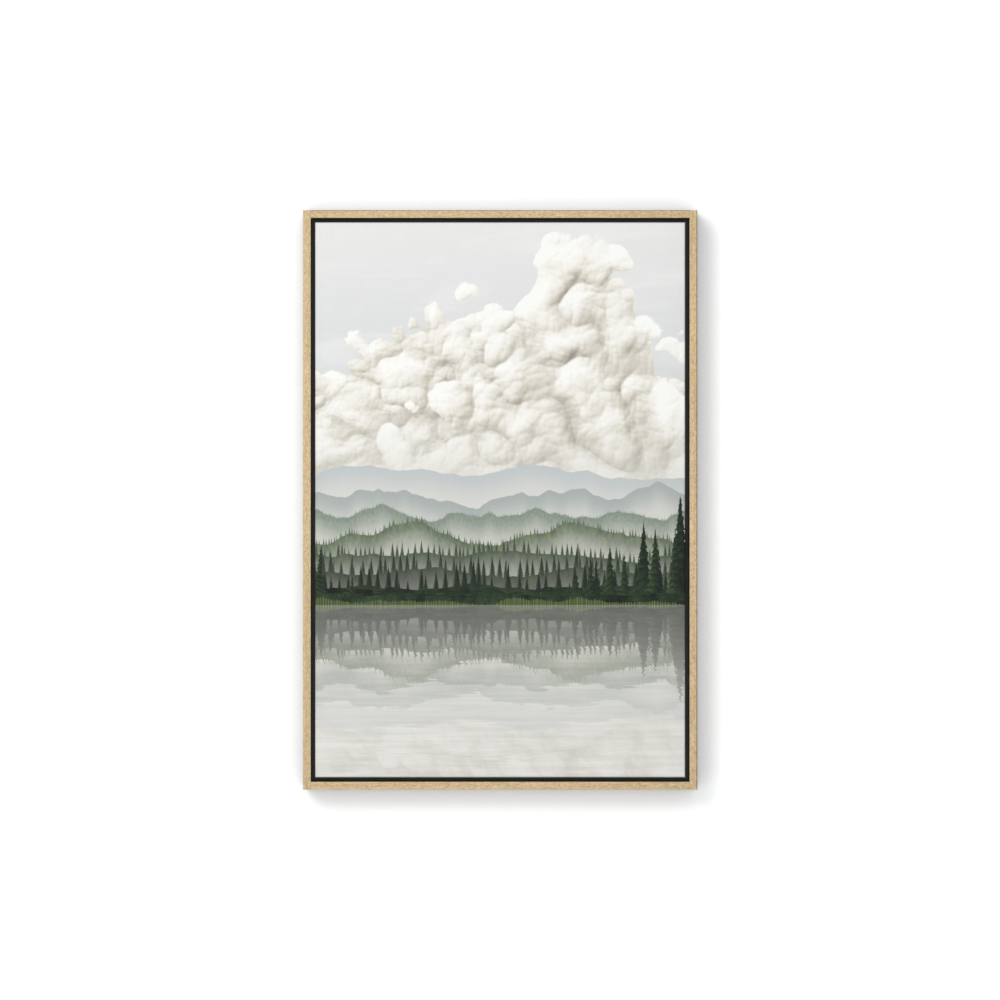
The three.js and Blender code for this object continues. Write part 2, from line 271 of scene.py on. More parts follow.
def planed_oak(name, along, seed, line=0.0):
    """White oak, planed and oiled matt: honey streaks and open pores along its wide faces.

    The narrow front edge has short dark dashes of cut pores along the grain and faint ray flecks across it. They and
    the pink and olive patches are what the eye picks out at this width; the gloss is faint and broad. A thin line of
    painted shade darkens the outer side of the front edge by the share given."""
    look = bpy.context.scene.framed_canvas_boards
    material, add = new_material(name)
    grain = grain_places(add, along, seed)
    textures = {}
    # sizes in millimetres along the grain and across it, detail and distortion
    for title, sizes, detail, twist in (
        ("rings", (240, 3.0, 4.4), 3.0, 0.6),
        ("bands", (110, 11, 11), 2.0, 0.0),
        ("patches", (13, 6, 6), 2.0, 0.0),
        ("flecks", (0.9, 2.6, 2.6), 1.0, 0.4),
        ("where", (17, 9, 9), 1.0, 0.0),
        # fibres and pores are 0.1 to 0.3 mm wide; all three are drawn about twice as wide so that they show
        ("fibres", (6, 0.6, 0.6), 2.0, 0.0),
        ("pores", (9, 0.55, 0.55), 1.0, 0.0),
        ("dashes", (3.4, 0.7, 0.7), 1.0, 0.3),
    ):
        textures[title] = streaks(add, grain, sizes, detail, Distortion=twist)

    def share(title, start, end, most, within=None):
        """Goes from 0 to the most as a texture goes from start to end, and fades out with a mask."""
        amount = add("MapRange", textures[title], start, end, 0, most)
        return amount if within is None else add("Math MULTIPLY", amount, within)

    place = add("SeparateXYZ", object_places(add))
    front = CAD_BOX[0].y
    # the front edge's pattern gives way to the wide faces' one from 1 to 2 mm behind it
    on_edge = add("MapRange", place.outputs["Y"], front + 2 * MM, front + MM)
    on_face = add("MapRange", on_edge, 0, 1, 1.0, 0.55)
    patchy = add("MapRange", on_edge, 0, 1, 0.5)
    pink = share("patches", 0.5, 0.66, 0.5, patchy)
    olive = share("patches", 0.5, 0.34, 0.45, patchy)
    grouped = share("where", 0.36, 0.54, 1.0, on_edge)
    dark_fleck = share("flecks", 0.53, 0.66, 0.3, grouped)
    pale_fleck = share("flecks", 0.47, 0.34, 0.7, on_edge)
    rings = share("rings", 0.5, 0.64, 0.42, on_face)
    dash = share("dashes", 0.5, 0.64, 0.62, on_edge)
    pores = share("pores", 0.58, 0.7, 0.6)
    tone = look.oak
    for factor, colour in (
        (share("bands", 0.4, 0.66, 0.7), look.oak_light),
        (pink, look.oak_pink),
        (olive, look.oak_olive),
        (rings, look.oak_dark),
        (pale_fleck, look.oak_light),
        (dark_fleck, look.oak_dark),
        (dash, look.oak_dark),
        (pores, look.oak_dark),
    ):
        tone = add("Mix RGBA", factor, tone, colour)
    tone = shaded(add, tone, textures["fibres"], 0.25, 0.75, 0.8, 1.2)
    if line:
        outward = "Z" if along == "X" else "X"
        low, high = (getattr(corner, outward.lower()) for corner in CAD_BOX)
        reach = (high - low) / 2
        # painted shade: a line about a millimetre wide, along the outer side of the front edge
        from_middle = add("Math ABSOLUTE", add("Math SUBTRACT", place.outputs[outward], (low + high) / 2))
        in_edge_shade = add("Math MULTIPLY", add("MapRange", from_middle, reach - 1.3 * MM, reach - 0.9 * MM), on_edge)
        tone = shaded(add, tone, in_edge_shade, 0, 1, 1.0, 1 - line)
    roughness = add("MapRange", pores, 0, 1, 0.58, 0.75)
    height = add("MapRange", add("Math ADD", pores, dark_fleck), 0, 1, 1.0, 0.0)
    return finish_surface(material, add, tone, roughness, height, 0.05 * MM, gloss=0.35)


def matt_paint(name):
    """Water-based black paint, rolled on wood: a dull even skin with a fine stipple and a few rubbed spots."""
    look = bpy.context.scene.framed_canvas_boards
    material, add = new_material(name)
    places = object_places(add)
    stipple = add("TexNoise", places, Scale=1 / (0.9 * MM), Detail=2.0)
    cloudy = add("TexNoise", places, Scale=1 / (35 * MM), Detail=3.0, Roughness=0.6)
    tone = shaded(add, look.paint[:3], cloudy, 0.3, 0.7, 0.9, 1.1)
    roughness = add("MapRange", stipple, 0, 1, 0.62, 0.88)
    return finish_surface(material, add, tone, roughness, stipple, 0.06 * MM, gloss=0.3)


# The printed landscape, in millimetres from the print's middle. A seed sets one bank or ridge apart from another.
# Banks of cloud run from the back to the front. A bank has its peak at a place across, and its top line drops by so
# much within its reach. Its puffs have one size, and its foot is the height where it dissolves.
Bank = namedtuple("Bank", "peak at reach drop puff foot contrast seed")
BANKS = [
    Bank(118, -150, 260, 20, 34, 10, 0.55, 3.1),
    Bank(214, -70, 250, 90, 66, 30, 0.85, 7.7),
    Bank(292, 95, 210, 250, 86, 15, 1.0, 12.4),
]
# Ridges run from the far ones to the near ones. A ridge has the height of its line, its swell and the swell's width,
# its trees' height and spacing, its colours in shade and light, and how much mist lies at its foot. A stand is the
# two places across between which the trees grow from nothing to their height.
Ridge = namedtuple("Ridge", "line swell width trees apart dark lit mist seed stand", defaults=[None])
RIDGES = [
    Ridge(34, 46, 190, 0, 9, "#BEC5C7", "#C9CECE", 0.85, 1.3),
    Ridge(6, 44, 120, 0, 9, "#A5ADAD", "#B2B9B5", 0.8, 5.9),
    Ridge(-20, 34, 105, 5, 2.2, "#808C86", "#95A18D", 0.78, 9.2),
    Ridge(-46, 30, 120, 11, 3.9, "#586658", "#77865F", 0.7, 14.6),
    Ridge(-74, 24, 140, 21, 6.6, "#38453A", "#566645", 0.55, 21.3),
    Ridge(-98, 18, 110, 30, 9.5, "#29332B", "#45543A", 0.3, 52.4),
    Ridge(-118, 12, 90, 36, 11.5, "#1F2723", "#384730", 0.05, 27.8),
    Ridge(-120, 8, 60, 150, 36, "#1D2522", "#3A4B34", 0.0, 33.1, (70, 215)),
    Ridge(-126, 8, 50, 104, 27, "#1F2824", "#465839", 0.0, 41.7, (20, 180)),
    Ridge(-128, 6, 50, 74, 22, "#1E2622", "#40523A", 0.0, 47.2, (-150, -262)),
]


def puffs(add, x, z, bank):
    """Height of round cloud puffs on larger puffs, about 0 to 0.8, at a place across and up in millimetres."""
    size = bank.puff
    place = add("CombineXYZ", x, z, bank.seed * 100)
    stir = add("TexNoise", place, Scale=1.5 / size, Detail=1.0)
    swing = add("VectorMath SUBTRACT", stir.outputs["Color"], (0.5, 0.5, 0.5))
    moved = add("VectorMath ADD", place, add("VectorMath SCALE", swing, size * 0.3))
    swell = add("TexNoise", moved, Scale=0.9 / size, Detail=1.0, normalize=False)
    height = add("Math MULTIPLY_ADD", add("Math ABSOLUTE", swell), 1.25, 0.2)
    for share, depth in ((0.45, 0.32), (0.19, 0.15), (0.085, 0.065)):
        cells = add("TexVoronoi", moved, Scale=1 / (share * size))
        height = add("Math MULTIPLY_ADD", add("Math MULTIPLY", cells, cells), -depth, height)
    return height


def cloud_bank(add, x, z, behind, bank, haze):
    """Paints one bank of cumulus over what lies behind it, lit from the upper left."""
    size = bank.puff
    across = add("Math ABSOLUTE", add("Math SUBTRACT", x, bank.at))
    top = add("MapRange SMOOTHSTEP", across, 0, bank.reach, bank.peak, bank.peak - bank.drop)
    swell = add("TexNoise 1D", add("Math MULTIPLY_ADD", x, 1 / (size * 1.6), bank.seed), Scale=1.0, Detail=1.0)
    top = add("Math MULTIPLY_ADD", swell, size * 1.1, top)
    here = puffs(add, x, z, bank)
    toward_light = puffs(add, add("Math ADD", x, -0.03 * size), add("Math ADD", z, 0.04 * size), bank)
    slope = add("Math SUBTRACT", here, toward_light)
    under = add("Math MULTIPLY_ADD", add("Math SUBTRACT", top, z), 1 / size, -0.35)
    under = add("Math MULTIPLY_ADD", here, 1.5, under)
    cover = add("MapRange SMOOTHSTEP", under, 0.0, 0.12)
    foot = add("MapRange SMOOTHSTEP", z, bank.foot - 45, bank.foot + 45)
    cover = add("Math MULTIPLY", cover, foot)
    # light on the puffs, less of it deep in the bank and in the hollows
    tone = add("Math MULTIPLY_ADD", slope, 2.1 * bank.contrast, 0.74)
    tone = add("Math ADD", tone, add("MapRange", under, 0, 3.4, 0, -0.24 * bank.contrast))
    tone = add("Math ADD", tone, add("MapRange", here, -0.1, 0.55, -0.34, 0.14))
    stops = [(0.0, "#9D978D"), (0.22, "#BDB7AB"), (0.45, "#DAD5CA"), (0.68, "#F1EFE8"), (0.9, "#FBFBF8")]
    paint = add("ValToRGB", tone, stops=stops)
    veil = add("MapRange SMOOTHSTEP", z, bank.foot - 10, bank.foot + 120, 0.62, 0.0)
    return add("Mix RGBA", cover, behind, add("Mix RGBA", veil, paint, haze))


def ridge(add, x, z, behind, hill, haze):
    """Paints one line of hills, with conifers where it has any, over what lies behind it."""
    place = add("Math MULTIPLY_ADD", x, 1 / hill.width, hill.seed)
    swell = add("TexNoise 1D", place, Scale=1.0, Detail=4.0, Roughness=0.45)
    line = add("Math MULTIPLY_ADD", swell, 2 * hill.swell, hill.line - hill.swell)
    under = add("Math SUBTRACT", line, z)
    cover = add("MapRange", under, 0, 0.9)
    lit = 0.5
    if hill.trees:
        cover, lit = conifers(add, x, z, hill, line, under, cover)
    paint = add("Mix RGBA", lit, linear(hill.dark), linear(hill.lit))
    mist = add("MapRange SMOOTHSTEP", under, -hill.trees / 2, 46.0, 0, hill.mist)
    return add("Mix RGBA", cover, behind, add("Mix RGBA", mist, paint, haze))


def conifers(add, x, z, hill, line, under, cover):
    """Adds a row of conifers to the cover of a ridge, and gives how far each place on it is lit."""
    # the nearest trunk, its distance, and that tree's own height
    at = add("Math MULTIPLY_ADD", x, 1 / hill.apart, hill.seed * 10)
    trunks = add("TexVoronoi 1D", at, Scale=1.0, Randomness=1.0)
    aside = add("Math SUBTRACT", at, trunks.outputs["W"])
    tall = add("SeparateColor", trunks.outputs["Color"])
    height = add("MapRange", tall.outputs["Red"], 0, 1, 0.45 * hill.trees, hill.trees)
    if hill.stand:
        height = add("Math MULTIPLY", height, add("MapRange SMOOTHSTEP", x, *hill.stand))
    below = add("Math SUBTRACT", add("Math ADD", line, height), z)
    # boughs in tiers, with ragged ends
    tier = hill.trees * 0.085
    ragged_at = add("CombineXYZ", x, z, hill.seed)
    ragged = add("TexNoise", ragged_at, Scale=3.2 / hill.apart, Detail=3.0, Roughness=0.7)
    step = add("Math MULTIPLY", below, 1 / tier)
    step = add("Math FRACT", add("Math MULTIPLY_ADD", ragged, 1.6, step))
    reach = add("Math MULTIPLY", add("MapRange", step, 0, 1, 0.55, 1.0), below)
    reach = add("Math MULTIPLY", reach, 0.62 / hill.trees)
    reach = add("Math SUBTRACT", add("Math MULTIPLY_ADD", ragged, 0.16, reach), 0.08)
    inside = add("Math SUBTRACT", reach, add("Math ABSOLUTE", aside))
    crown = add("MapRange", inside, 0, 0.7 / hill.apart)
    crown = add("Math MULTIPLY", crown, add("MapRange", below, 0, 1.0))
    cover = add("Math MAXIMUM", cover, crown)
    # the left side and the top of each tier catch the light, and so do the tree tops down the slope
    lit = add("Math MULTIPLY", step, add("MapRange", aside, 0.25, -0.35))
    lit = add("Math MULTIPLY", add("Math MULTIPLY", ragged, lit), 2.4)
    tops_at = add("VectorMath MULTIPLY", ragged_at, (0.9 / hill.apart, 0.42 / hill.apart, 1))
    tops = add("MapRange", add("TexNoise", tops_at, Scale=1.0, Detail=4.0, Roughness=0.65), 0.4, 0.68)
    down = add("MapRange", under, -0.1 * hill.trees, 0.15 * hill.trees)
    return cover, add("Mix FLOAT", down, lit, tops)


def printed_landscape(add, x, z):
    """The colour of the print at a place across and up in millimetres: clouds over wooded hills and a still lake."""
    look = bpy.context.scene.framed_canvas_print
    shore = look.shoreline / MM
    # below the shoreline the same landscape is read upside down, broken by ripples
    flat = add("CombineXYZ", x, z)
    ripple = streaks(add, flat, (85, 4.2, 1), 2.5, kind="TexNoise 2D", unit=1, Roughness=0.6)
    under = add("Math SUBTRACT", shore, z)
    swing = add("MapRange", under, 0, 230.0, 4.0, 34.0)
    off = add("Math MULTIPLY", add("Math SUBTRACT", ripple, 0.5), swing)
    mirrored = add("Math ADD", add("Math MULTIPLY_ADD", under, 1.12, shore), off)
    wet = add("Math LESS_THAN", z, shore)
    seen_z = add("Mix FLOAT", wet, z, mirrored)
    seen_x = add("Math MULTIPLY_ADD", add("Math MULTIPLY", off, wet), 0.5, x)

    rise = add("MapRange", seen_z, -100.0, 375.0)
    sky = add("ValToRGB", rise, stops=[(0.0, "#E4E1D8"), (0.3, "#D8DADA"), (0.62, "#DEE0E1"), (1.0, "#E9E9E8")])
    wisps_at = add("CombineXYZ", seen_x, seen_z, 40.0)
    wisps = streaks(add, wisps_at, (210, 46, 1), 6.0, unit=1, Roughness=0.55, Distortion=0.6)
    picture = tinted(add, sky, linear("#F4F4F2"), wisps, 0.48, 0.78, 0.65)
    for bank in BANKS:
        picture = cloud_bank(add, seen_x, seen_z, picture, bank, look.haze)
    for hill in RIDGES:
        picture = ridge(add, seen_x, seen_z, picture, hill, look.haze)

    # reeds and grass along the shore
    blades = add("TexNoise 1D", add("Math MULTIPLY", seen_x, 1 / 1.3), Scale=1.0, Detail=3.0)
    rises = add("TexNoise 1D", add("Math MULTIPLY", seen_x, 1 / 70), Scale=1.0, Detail=2.0)
    grass_top = add("Math MULTIPLY_ADD", rises, 30.0, shore - 10)
    grass_top = add("Math MULTIPLY_ADD", blades, 8.0, grass_top)
    grass_in = add("MapRange", add("Math SUBTRACT", grass_top, seen_z), 4.0, 5.5)
    grass = add("ValToRGB", blades, stops=[(0.3, "#2F3A27"), (0.5, "#4F5F35"), (0.72, "#7C8463")])
    picture = add("Mix RGBA", grass_in, picture, grass)

    # the water: paler towards the viewer, with light and dark streaks
    pale = add("Math MULTIPLY", add("MapRange SMOOTHSTEP", under, 0.0, 190.0, 0.18, 0.72), wet)
    picture = add("Mix RGBA", pale, picture, look.water)
    glint = streaks(add, flat, (150, 6.5, 1), 4.0, kind="TexNoise 2D", unit=1, Roughness=0.62)
    glint = add("MapRange", glint, 0.3, 0.7, 0.93, 1.05)
    return add("VectorMath SCALE", picture, add("Mix FLOAT", wet, 1.0, glint))


def weave(add, at_u, at_v):
    """Height, from 0 to 1, of a plain weave whose threads are 1 apart."""
    heights = []
    for along, over, start in ((at_u, at_v, 0.0), (at_v, at_u, math.pi)):
        round_thread = add("Math ABSOLUTE", add("Math SINE", add("Math MULTIPLY", along, math.pi)))
        wave = add("Math FLOOR", along)
        wave = add("Math MULTIPLY_ADD", add("Math ADD", over, wave), math.pi, start)
        wave = add("MapRange", add("Math SINE", wave), -1.0, 1, 0.35)
        heights.append(add("Math MULTIPLY", round_thread, wave))
    return add("Math MAXIMUM", *heights)


def cloth_places(add):
    """The flat cloth's own coordinates: across and up from its middle, in metres."""
    return add("SeparateXYZ", add("UVMap", uv_map="Cloth"))


def slubs(add, flat):
    """Uneven thick and thin threads both ways, from 0 to 1."""
    both = []
    for size in ((38, 0.9), (0.9, 38)):
        place = add("CombineXYZ", flat.outputs["X"], flat.outputs["Y"])
        both.append(streaks(add, place, (*size, 1), 2.0, kind="TexNoise 2D"))
    return add("Math MULTIPLY", add("Math ADD", *both), 0.5)


def threads(add, flat, spacing):
    """Height, from 0 to 1, of the weave of the flat cloth."""
    return weave(add, *[add("Math MULTIPLY", flat.outputs[axis], 1 / spacing) for axis in ("X", "Y")])


def printed_canvas():
    """Primed cotton duck with pigment ink: dead matt, with the weave just proud of the picture.

    The picture is mirrored round the wrapped edges, and stops just behind them at bare white primer."""
    look = bpy.context.scene.framed_canvas_print
    material, add = new_material("Printed cotton canvas")
    flat = cloth_places(add)
    at, bare = [], []
    for axis, low, high in (("X", CANVAS_LOW.x, CANVAS_HIGH.x), ("Y", CANVAS_LOW.z, CANVAS_HIGH.z)):
        half = (high - low) / 2 / MM
        on_cloth = add("Math MULTIPLY", flat.outputs[axis], 1 / MM)
        folded = add("Math PINGPONG", add("Math ADD", on_cloth, half), 2 * half)
        at.append(add("Math SUBTRACT", folded, half))
        # the ink ends 5 mm round the back
        end = half + CANVAS_DEPTH / MM + 5
        bare.append(add("MapRange", add("Math ABSOLUTE", on_cloth), end, end + 0.8))
    unprinted = add("Math MAXIMUM", *bare)
    picture = printed_landscape(add, *at)
    height = threads(add, flat, look.thread)
    uneven = slubs(add, flat)
    ink = add("Mix RGBA", unprinted, picture, look.primer)
    ink = shaded(add, ink, uneven, 0.35, 0.65, 0.985, 1.015)
    roughness = add("MapRange", height, 0, 1, 0.92, 0.8)
    return finish_surface(material, add, ink, roughness, height, 0.1 * MM, gloss=0.2)


def raw_cotton():
    """Unbleached cotton duck, loom finished: cream, with thick and thin threads and small dark seed specks."""
    look = bpy.context.scene.framed_canvas_print
    material, add = new_material("Raw cotton duck")
    flat = cloth_places(add)
    # threads are drawn twice as far apart as real ones, so that the weave shows
    height = threads(add, flat, 2 * look.thread)
    uneven = slubs(add, flat)
    shade = add("MapRange", uneven, 0.35, 0.65, 0.92, 1.06)
    # painted shade: the low parts of the weave, between the threads, are made darker
    shade = add("Math MULTIPLY", shade, add("MapRange", height, 0, 1, 0.8, 1.04))
    specks = add("TexNoise", object_places(add), Scale=1 / (2.2 * MM), Detail=1.0)
    tone = add("VectorMath SCALE", look.cotton[:3], shade)
    tone = tinted(add, tone, linear("#9A8562"), specks, 0.74, 0.8, 0.5)
    roughness = add("MapRange", height, 0, 1, 1.0, 0.9)
    return finish_surface(material, add, tone, roughness, height, 0.2 * MM, gloss=0.2)


def planed_pine(name, along, seed):
    """Kiln-dried pine, planed and untreated: wide pale early wood, narrow orange late wood, and a few knots."""
    look = bpy.context.scene.framed_canvas_back
    material, add = new_material(name)
    grain = grain_places(add, along, seed)
    knots = add("TexVoronoi", sized(add, grain, 150, 45, 45), Scale=1.0, Randomness=0.9).outputs["Distance"]
    wander = streaks(add, grain, (260, 30, 30), 2.0)
    parts = add("SeparateXYZ", grain)
    # growth rings about a heart that lies well outside the bar
    radius = add("VectorMath LENGTH", add("CombineXYZ", parts.outputs["Y"], parts.outputs["Z"]))
    rings = add("Math MULTIPLY", radius.outputs["Value"], 1 / (3.4 * MM))
    rings = add("Math MULTIPLY_ADD", wander, 9.0, rings)
    rings = add("Math ADD", rings, add("MapRange", knots, 0.05, 0.3, 2.4, 0.0))
    late = add("MapRange SMOOTHSTEP", add("Math FRACT", rings), 0.45, 0.95, 0, 0.8)
    # bundles of fibres, because single ones are too fine to show
    fibres = streaks(add, grain, (40, 0.8, 0.8), 2.0)
    tone = shaded(add, add("Mix RGBA", late, look.pine, look.pine_ring), fibres, 0.3, 0.7, 0.93, 1.05)
    tone = tinted(add, tone, linear("#8A5A34"), knots, 0.11, 0.07, 0.9)
    roughness = add("MapRange", late, 0, 1, 0.72, 0.55)
    return finish_surface(material, add, tone, roughness, fibres, 0.06 * MM, gloss=0.35)


def sawn_beech(name, seed):
    """Steamed beech, sawn: even and slightly pink, with short brown ray flecks."""
    look = bpy.context.scene.framed_canvas_back
    material, add = new_material(name)
    grain = grain_places(add, "X", seed)
    flecks = streaks(add, grain, (2.6, 0.5, 0.5), 1.0)
    fleck = add("MapRange", flecks, 0.58, 0.7, 0, 0.7)
    bands = streaks(add, grain, (60, 3, 3), 2.0)
    tone = shaded(add, look.beech[:3], bands, 0.3, 0.7, 0.88, 1.08)
    tone = add("Mix RGBA", fleck, tone, linear("#A87852"))
    roughness = add("MapRange", flecks, 0, 1, 0.62, 0.78)
    return finish_surface(material, add, tone, roughness, flecks, 0.08 * MM, gloss=0.35)


def bright_zinc(name):
    """Mild steel, stamped or drawn and zinc plated: bright, a little blue and straw by turns, with fine scuffs."""
    look = bpy.context.scene.framed_canvas_back
    material, add = new_material(name)
    places = object_places(add)
    tint = add("TexNoise", places, Scale=1 / (4 * MM), Detail=2.0)
    tone = tinted(add, look.zinc, linear("#CDC9B8"), tint, 0.42, 0.62)
    scuffs = streaks(add, places, (0.4, 0.4, 3), 3.0)
    roughness = add("MapRange", scuffs, 0.3, 0.7, 0.22, 0.42)
    return finish_surface(material, add, tone, roughness, scuffs, 0.01 * MM, metallic=1.0)


def soft_rubber():
    """Moulded soft rubber: dark grey, matt, with a very fine pebble and a little dust."""
    look = bpy.context.scene.framed_canvas_back
    material, add = new_material("Soft rubber")
    places = object_places(add)
    pebble = add("TexVoronoi", places, Scale=1 / (0.5 * MM))
    dust = add("TexNoise", places, Scale=1 / (2.5 * MM), Detail=3.0)
    tone = tinted(add, look.pad, linear("#77756F"), dust, 0.5, 0.75, 0.25)
    roughness = add("MapRange", dust, 0, 1, 0.7, 0.95)
    return finish_surface(material, add, tone, roughness, pebble, 0.03 * MM)


# ---------------------------------------------------------------- shapes


def nodes_named(start):
    return sorted(name for name in NODES if name.startswith(start))


def middle(node):
    low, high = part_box(node)
    return (low + high) / 2


def add_object(name, shape, *materials):
    """Makes an object of a bmesh, in its place."""
    mesh = bpy.data.meshes.new(name)
    shape.to_mesh(mesh)
    shape.free()
    for material in materials:
        mesh.materials.append(material)
    made = bpy.data.objects.new(name, mesh)
    bpy.context.scene.collection.objects.link(made)
    return made


def add_piece(name, shape, materials, slot, *stands_for, body="frame", sharp=35):
    """Makes a piece of the object, which rides on its body. Edges over the sharp angle stay crisp."""
    piece = add_object(name, shape, *materials)
    piece.data.shade_smooth()
    piece.data.set_sharp_from_angle(angle=math.radians(sharp))
    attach(piece, body)
    if stands_for:
        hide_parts(*stands_for)
    return piece


def move(shape, by, verts=None):
    bmesh.ops.translate(shape, vec=by, verts=verts or shape.verts)


def stretch(shape, by, verts=None):
    bmesh.ops.scale(shape, vec=by, verts=verts or shape.verts)


def turn(shape, degrees, axis, verts=None):
    matrix = Matrix.Rotation(math.radians(degrees), 3, axis)
    bmesh.ops.rotate(shape, cent=(0, 0, 0), matrix=matrix, verts=verts or shape.verts)


def square(size, facing="Z"):
    """A square round the origin, of this size from its middle to its sides. It faces +Z, or -Y if it says "Y"."""
    shape = bmesh.new()
    bmesh.ops.create_grid(shape, x_segments=1, y_segments=1, size=size)
    if facing == "Y":
        turn(shape, 90, "X")
    return shape


def block(shape, size):
    """Adds a box of this size round the origin to a shape, and gives its corners."""
    verts = bmesh.ops.create_cube(shape, size=1)["verts"]
    stretch(shape, size, verts)
    return verts


def merged_copy(node):
    """The shape of a node of the frame as one closed surface of large flat faces."""
    source = bmesh.new()
    source.from_mesh(NODES[node].data)
    bmesh.ops.remove_doubles(source, verts=source.verts, dist=MERGE)
    bmesh.ops.dissolve_limit(source, angle_limit=math.radians(1), verts=source.verts, edges=source.edges)
    shape = bmesh.new()
    copies = {v: shape.verts.new(v.co) for v in source.verts}
    for face in source.faces:
        shape.faces.new([copies[v] for v in face.verts])
    source.free()
    shape.normal_update()
    return shape


def round_edges(shape, edges, radius, segments=2):
    if edges:
        bmesh.ops.bevel(
            shape,
            geom=edges,
            offset=radius,
            segments=segments,
            profile=0.5,
            affect="EDGES",
            material=-1,
            clamp_overlap=True,
        )


def sharp_edges(shape, degrees):
    limit = math.radians(degrees)
    return [e for e in shape.edges if e.is_manifold and e.calc_face_angle(0) > limit]


def run(edge, axis):
    """How far an edge runs along an axis."""
    start, end = edge.verts
    return abs(start.co[axis] - end.co[axis])


def only(kind, geometry):
    """The "Vert", "Edge" or "Face" elements among those that an operator gives."""
    return [g for g in geometry if isinstance(g, getattr(bmesh.types, "BM" + kind))]


def extrude(shape, edges, by=(0, 0, 0)):
    """Extrudes edges along a vector, and gives the new edges and vertices."""
    made = bmesh.ops.extrude_edge_only(shape, edges=edges)["geom"]
    move(shape, by, only("Vert", made))
    return only("Edge", made), only("Vert", made)


def face_outward(shape):
    bmesh.ops.recalc_face_normals(shape, faces=shape.faces)


def carve(piece, tools):
    """Cuts the shapes of the tools out of a piece's mesh for good."""
    for shape in tools:
        tool = add_object("tool", shape)
        cut = piece.modifiers.new("cut", "BOOLEAN")
        cut.object, cut.operation, cut.solver = tool, "DIFFERENCE", "EXACT"
        bpy.context.view_layer.update()
        carved = bpy.data.meshes.new_from_object(piece.evaluated_get(bpy.context.evaluated_depsgraph_get()))
        piece.modifiers.remove(cut)
        if not carved.polygons:
            raise RuntimeError(f"cutting {piece.name} left nothing")
        old, piece.data = piece.data, carved
        carved.name = piece.name
        bpy.data.meshes.remove(old)
        # the tool goes with its mesh
        bpy.data.meshes.remove(tool.data)
    piece.data.set_sharp_from_angle(angle=math.radians(35))


def rod(radius, start, end, sides=24):
    """A round rod from one point to another."""
    start, end = Vector(start), Vector(end)
    shape = bmesh.new()
    bmesh.ops.create_cone(
        shape, cap_ends=True, segments=sides, radius1=radius, radius2=radius, depth=(end - start).length
    )
    aim = (end - start).to_track_quat("Z", "Y").to_matrix().to_4x4()
    bmesh.ops.transform(shape, matrix=Matrix.Translation((start + end) / 2) @ aim, verts=shape.verts)
    return shape


def turned_shape(profile, sides):
    """A round shape about Y, from its radius at each height along Y."""
    shape = bmesh.new()
    verts = [shape.verts.new((radius, height, 0)) for radius, height in profile]
    edges = [shape.edges.new(pair) for pair in zip(verts, verts[1:])]
    bmesh.ops.spin(
        shape, geom=verts + edges, cent=(0, 0, 0), axis=(0, 1, 0), angle=math.tau, steps=sides, use_merge=True
    )
    bmesh.ops.remove_doubles(shape, verts=shape.verts, dist=MERGE)
    face_outward(shape)
    return shape


def threaded(point, end, neck, shank, root, pitch, tip, run_out):
    """The profile of a screw from its point to its neck, with ridges for its thread up to about an end along Y.

    The last five sizes are in millimetres."""
    shank, root, pitch, tip, run_out = (size * MM for size in (shank, root, pitch, tip, run_out))
    profile = [(0, point), (0.8 * root, point + tip)]
    y = point + tip + 0.2 * MM
    while y < end:
        profile += [(root, y), (shank, y + 0.45 * pitch), (root, y + 0.9 * pitch)]
        y += pitch
    return profile + [(root, y), (0.9 * shank, y + run_out), (0.9 * shank, neck)]


def dome(radius, flat, low, high, steps):
    """The profile of a rounded top from low to high, flat over a share of its radius."""
    angles = [math.radians(90 * step / steps) for step in range(1, steps + 1)]
    rounded = [(radius * (flat + (1 - flat) * math.cos(a)), low + (high - low) * math.sin(a)) for a in angles]
    return rounded + [(0, high)]


def add_screw(node, profile, reach, depth, degrees):
    """Adds a zinc plated screw, with a cross recess of a reach and depth that is turned by some degrees."""
    low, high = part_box(node)
    zinc = shared("Bright zinc on steel", bright_zinc)
    piece = add_piece(f"zinc_{node}", turned_shape(profile, 28), [zinc], "zinc_steel", node)
    blades = []
    for angle in (0, 90):
        blade = bmesh.new()
        block(blade, (2 * reach, 2 * depth, 0.9 * MM))
        # tapered towards the bottom of the recess
        stretch(blade, (0.35, 1, 0.5), [v for v in blade.verts if v.co.y < 0])
        turn(blade, angle, "Y")
        move(blade, (0, high.y, 0))
        blades.append(blade)
    carve(piece, blades)
    at = (low + high) / 2
    piece.data.transform(Matrix.Translation((at.x, 0, at.z)) @ Matrix.Rotation(math.radians(degrees), 4, "Y"))


# ---------------------------------------------------------------- operators


